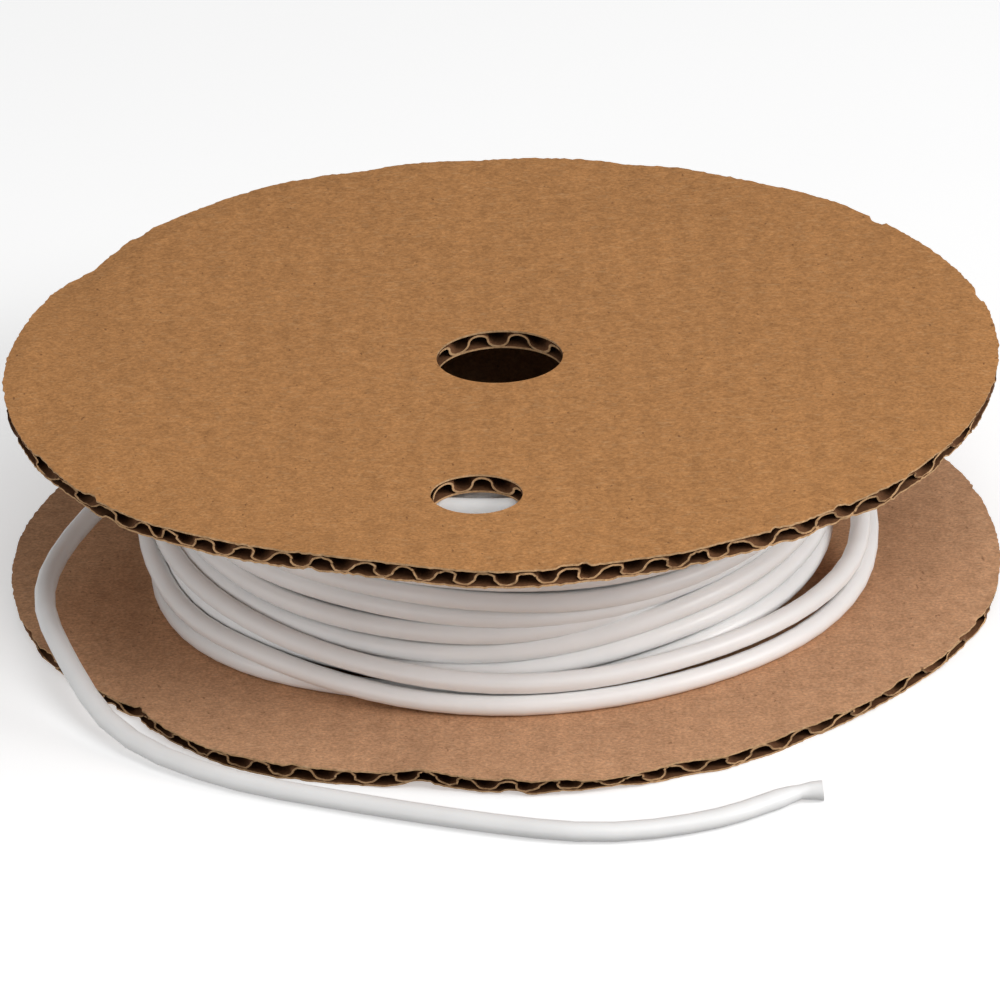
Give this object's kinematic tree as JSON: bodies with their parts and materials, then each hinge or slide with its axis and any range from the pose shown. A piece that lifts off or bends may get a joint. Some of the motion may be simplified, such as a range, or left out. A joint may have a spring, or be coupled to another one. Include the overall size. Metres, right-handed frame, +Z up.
{
  "type": "cardboard spool of tubing",
  "caption": "Corrugated cardboard spool with round flanges, wound with white hollow plastic tubing whose loose end lies beside it.",
  "frame": {"origin": "middle of the lower flange's underside, on the spool's axis", "axes": "+Z up the spool's axis; the flutes of both flanges run along Y, and -Y is the side where the loose end lies"},
  "size_m": [0.2, 0.2236, 0.049],
  "materials": {
    "kraft_outer": "matt kraft liner",
    "kraft_inner": "matt kraft liner, paler",
    "kraft_medium": "matt corrugating medium",
    "core_board": "grey-brown paperboard",
    "hot_melt": "translucent amber glue",
    "tape": "adhesive tape",
    "white_tubing": "soft gloss white"
  },
  "bodies": {
    "root": {"lower_flange_outer_liner": "kraft_outer", "lower_flange_fluting": "kraft_medium", "lower_flange_inner_liner": "kraft_inner", "upper_flange_inner_liner": "kraft_inner", "upper_flange_fluting": "kraft_medium", "upper_flange_outer_liner": "kraft_outer", "core_tube": "core_board", "lower_glue_bead": "hot_melt", "upper_glue_bead": "hot_melt", "start_tape": "tape", "wound_tubing": "white_tubing", "tubing_tail": "white_tubing"}
  },
  "joints": []
}
